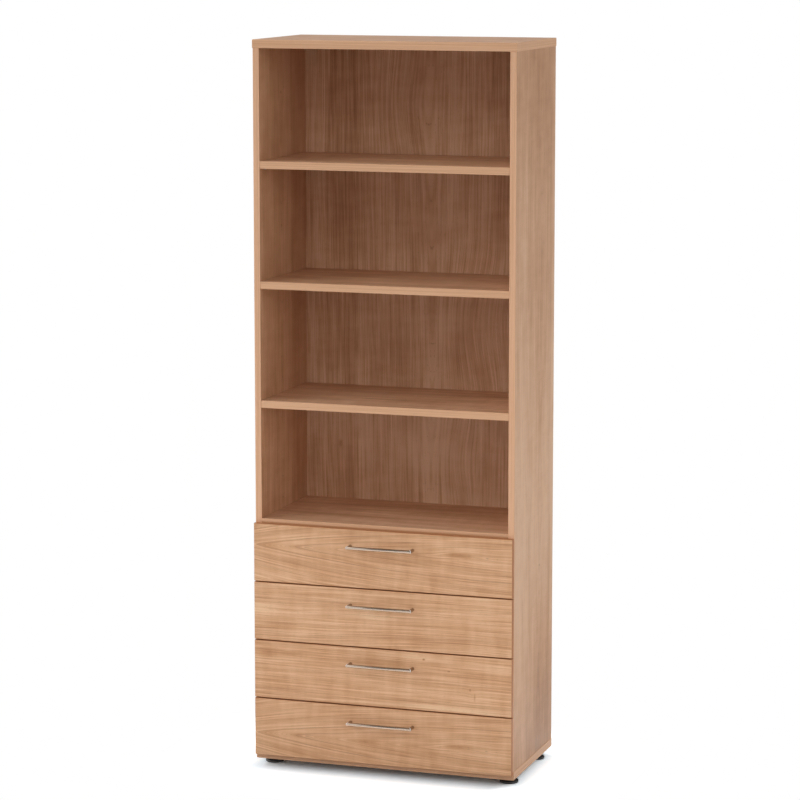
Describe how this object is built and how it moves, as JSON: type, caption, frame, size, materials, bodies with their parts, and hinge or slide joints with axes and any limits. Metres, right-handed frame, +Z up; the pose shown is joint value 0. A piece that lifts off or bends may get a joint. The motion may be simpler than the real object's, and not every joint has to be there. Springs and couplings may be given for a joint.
{
  "type": "bookcase with bottom drawers",
  "caption": "Tall bookcase in cherry decor with open shelf compartments above roller-runner drawers with bow handles, on levelling feet.",
  "frame": {"origin": "on the floor, in the middle of the overall width and depth, handles included", "axes": "+Z up, -Y out of the front, +X to the right of someone facing the front"},
  "size_m": [0.8, 0.454, 2.16],
  "materials": {
    "board_decor": "satin cherry decor on particle board, banded edges",
    "back_decor": "satin cherry decor, upright grain",
    "drawer_box": "light grey foil on particle board",
    "runner_coating": "white powder coat on pressed steel",
    "roller_plastic": "smooth nylon",
    "handle_metal": "satin nickel",
    "zinc_fittings": "bright zinc",
    "foot_plastic": "black moulded plastic",
    "tongue_wood": "bare beech plywood"
  },
  "bodies": {
    "root": {"left_side": "board_decor", "right_side": "board_decor", "top_panel": "board_decor", "base_panel": "board_decor", "fixed_deck": "board_decor", "upper_shelf": "board_decor", "middle_shelf": "board_decor", "lower_shelf": "board_decor", "back_panel": "back_decor", "shelf_pins": "zinc_fittings", "carcass_tongues": "tongue_wood", "cabinet_runners_left": "runner_coating", "cabinet_runners_right": "runner_coating"},
    "drawer_1": {"drawer_front_1": "board_decor", "drawer_side_left_1": "drawer_box", "drawer_side_right_1": "drawer_box", "drawer_back_1": "drawer_box", "drawer_bottom_1": "drawer_box", "handle_1": "handle_metal", "drawer_runners_1": "runner_coating"},
    "front_rollers_1": {"front_rollers_1": "roller_plastic"},
    "rear_rollers_1": {"rear_rollers_1": "roller_plastic"},
    "drawer_2": {"drawer_front_2": "board_decor", "drawer_side_left_2": "drawer_box", "drawer_side_right_2": "drawer_box", "drawer_back_2": "drawer_box", "drawer_bottom_2": "drawer_box", "handle_2": "handle_metal", "drawer_runners_2": "runner_coating"},
    "front_rollers_2": {"front_rollers_2": "roller_plastic"},
    "rear_rollers_2": {"rear_rollers_2": "roller_plastic"},
    "drawer_3": {"drawer_front_3": "board_decor", "drawer_side_left_3": "drawer_box", "drawer_side_right_3": "drawer_box", "drawer_back_3": "drawer_box", "drawer_bottom_3": "drawer_box", "handle_3": "handle_metal", "drawer_runners_3": "runner_coating"},
    "front_rollers_3": {"front_rollers_3": "roller_plastic"},
    "rear_rollers_3": {"rear_rollers_3": "roller_plastic"},
    "drawer_4": {"drawer_front_4": "board_decor", "drawer_side_left_4": "drawer_box", "drawer_side_right_4": "drawer_box", "drawer_back_4": "drawer_box", "drawer_bottom_4": "drawer_box", "handle_4": "handle_metal", "drawer_runners_4": "runner_coating"},
    "front_rollers_4": {"front_rollers_4": "roller_plastic"},
    "rear_rollers_4": {"rear_rollers_4": "roller_plastic"},
    "foot_front_left": {"foot_front_left": "foot_plastic"},
    "foot_front_right": {"foot_front_right": "foot_plastic"},
    "foot_rear_left": {"foot_rear_left": "foot_plastic"},
    "foot_rear_right": {"foot_rear_right": "foot_plastic"}
  },
  "joints": [
    {"name": "drawer_1_slide", "type": "slide", "parent": "root", "child": "drawer_1", "axis": [0, -1, 0], "range_m": [0, 0.262]},
    {"name": "drawer_2_slide", "type": "slide", "parent": "root", "child": "drawer_2", "axis": [0, -1, 0], "range_m": [0, 0.262]},
    {"name": "drawer_3_slide", "type": "slide", "parent": "root", "child": "drawer_3", "axis": [0, -1, 0], "range_m": [0, 0.262]},
    {"name": "drawer_4_slide", "type": "slide", "parent": "root", "child": "drawer_4", "axis": [0, -1, 0], "range_m": [0, 0.262]},
    {"name": "front_rollers_1_spin", "type": "hinge", "parent": "root", "child": "front_rollers_1", "pos_m": [0, -0.158, 0.6022], "axis": [1, 0, 0], "range_deg": [0, 1306]},
    {"name": "rear_rollers_1_spin", "type": "hinge", "parent": "drawer_1", "child": "rear_rollers_1", "pos_m": [0, 0.16, 0.597], "axis": [1, 0, 0], "range_deg": [0, 1306]},
    {"name": "front_rollers_2_spin", "type": "hinge", "parent": "root", "child": "front_rollers_2", "pos_m": [0, -0.158, 0.4262], "axis": [1, 0, 0], "range_deg": [0, 1306]},
    {"name": "rear_rollers_2_spin", "type": "hinge", "parent": "drawer_2", "child": "rear_rollers_2", "pos_m": [0, 0.16, 0.421], "axis": [1, 0, 0], "range_deg": [0, 1306]},
    {"name": "front_rollers_3_spin", "type": "hinge", "parent": "root", "child": "front_rollers_3", "pos_m": [0, -0.158, 0.2502], "axis": [1, 0, 0], "range_deg": [0, 1306]},
    {"name": "rear_rollers_3_spin", "type": "hinge", "parent": "drawer_3", "child": "rear_rollers_3", "pos_m": [0, 0.16, 0.245], "axis": [1, 0, 0], "range_deg": [0, 1306]},
    {"name": "front_rollers_4_spin", "type": "hinge", "parent": "root", "child": "front_rollers_4", "pos_m": [0, -0.158, 0.0742], "axis": [1, 0, 0], "range_deg": [0, 1306]},
    {"name": "rear_rollers_4_spin", "type": "hinge", "parent": "drawer_4", "child": "rear_rollers_4", "pos_m": [0, 0.16, 0.069], "axis": [1, 0, 0], "range_deg": [0, 1306]},
    {"name": "foot_front_left_level", "type": "slide", "parent": "root", "child": "foot_front_left", "axis": [0, 0, -1], "range_m": [0, 0.01]},
    {"name": "foot_front_right_level", "type": "slide", "parent": "root", "child": "foot_front_right", "axis": [0, 0, -1], "range_m": [0, 0.01]},
    {"name": "foot_rear_left_level", "type": "slide", "parent": "root", "child": "foot_rear_left", "axis": [0, 0, -1], "range_m": [0, 0.01]},
    {"name": "foot_rear_right_level", "type": "slide", "parent": "root", "child": "foot_rear_right", "axis": [0, 0, -1], "range_m": [0, 0.01]}
  ],
  "couplings": [
    {"joint": "front_rollers_1_spin", "follows": "drawer_1_slide", "rad_per_m": 86.957},
    {"joint": "rear_rollers_1_spin", "follows": "drawer_1_slide", "rad_per_m": 86.957},
    {"joint": "front_rollers_2_spin", "follows": "drawer_2_slide", "rad_per_m": 86.957},
    {"joint": "rear_rollers_2_spin", "follows": "drawer_2_slide", "rad_per_m": 86.957},
    {"joint": "front_rollers_3_spin", "follows": "drawer_3_slide", "rad_per_m": 86.957},
    {"joint": "rear_rollers_3_spin", "follows": "drawer_3_slide", "rad_per_m": 86.957},
    {"joint": "front_rollers_4_spin", "follows": "drawer_4_slide", "rad_per_m": 86.957},
    {"joint": "rear_rollers_4_spin", "follows": "drawer_4_slide", "rad_per_m": 86.957}
  ]
}
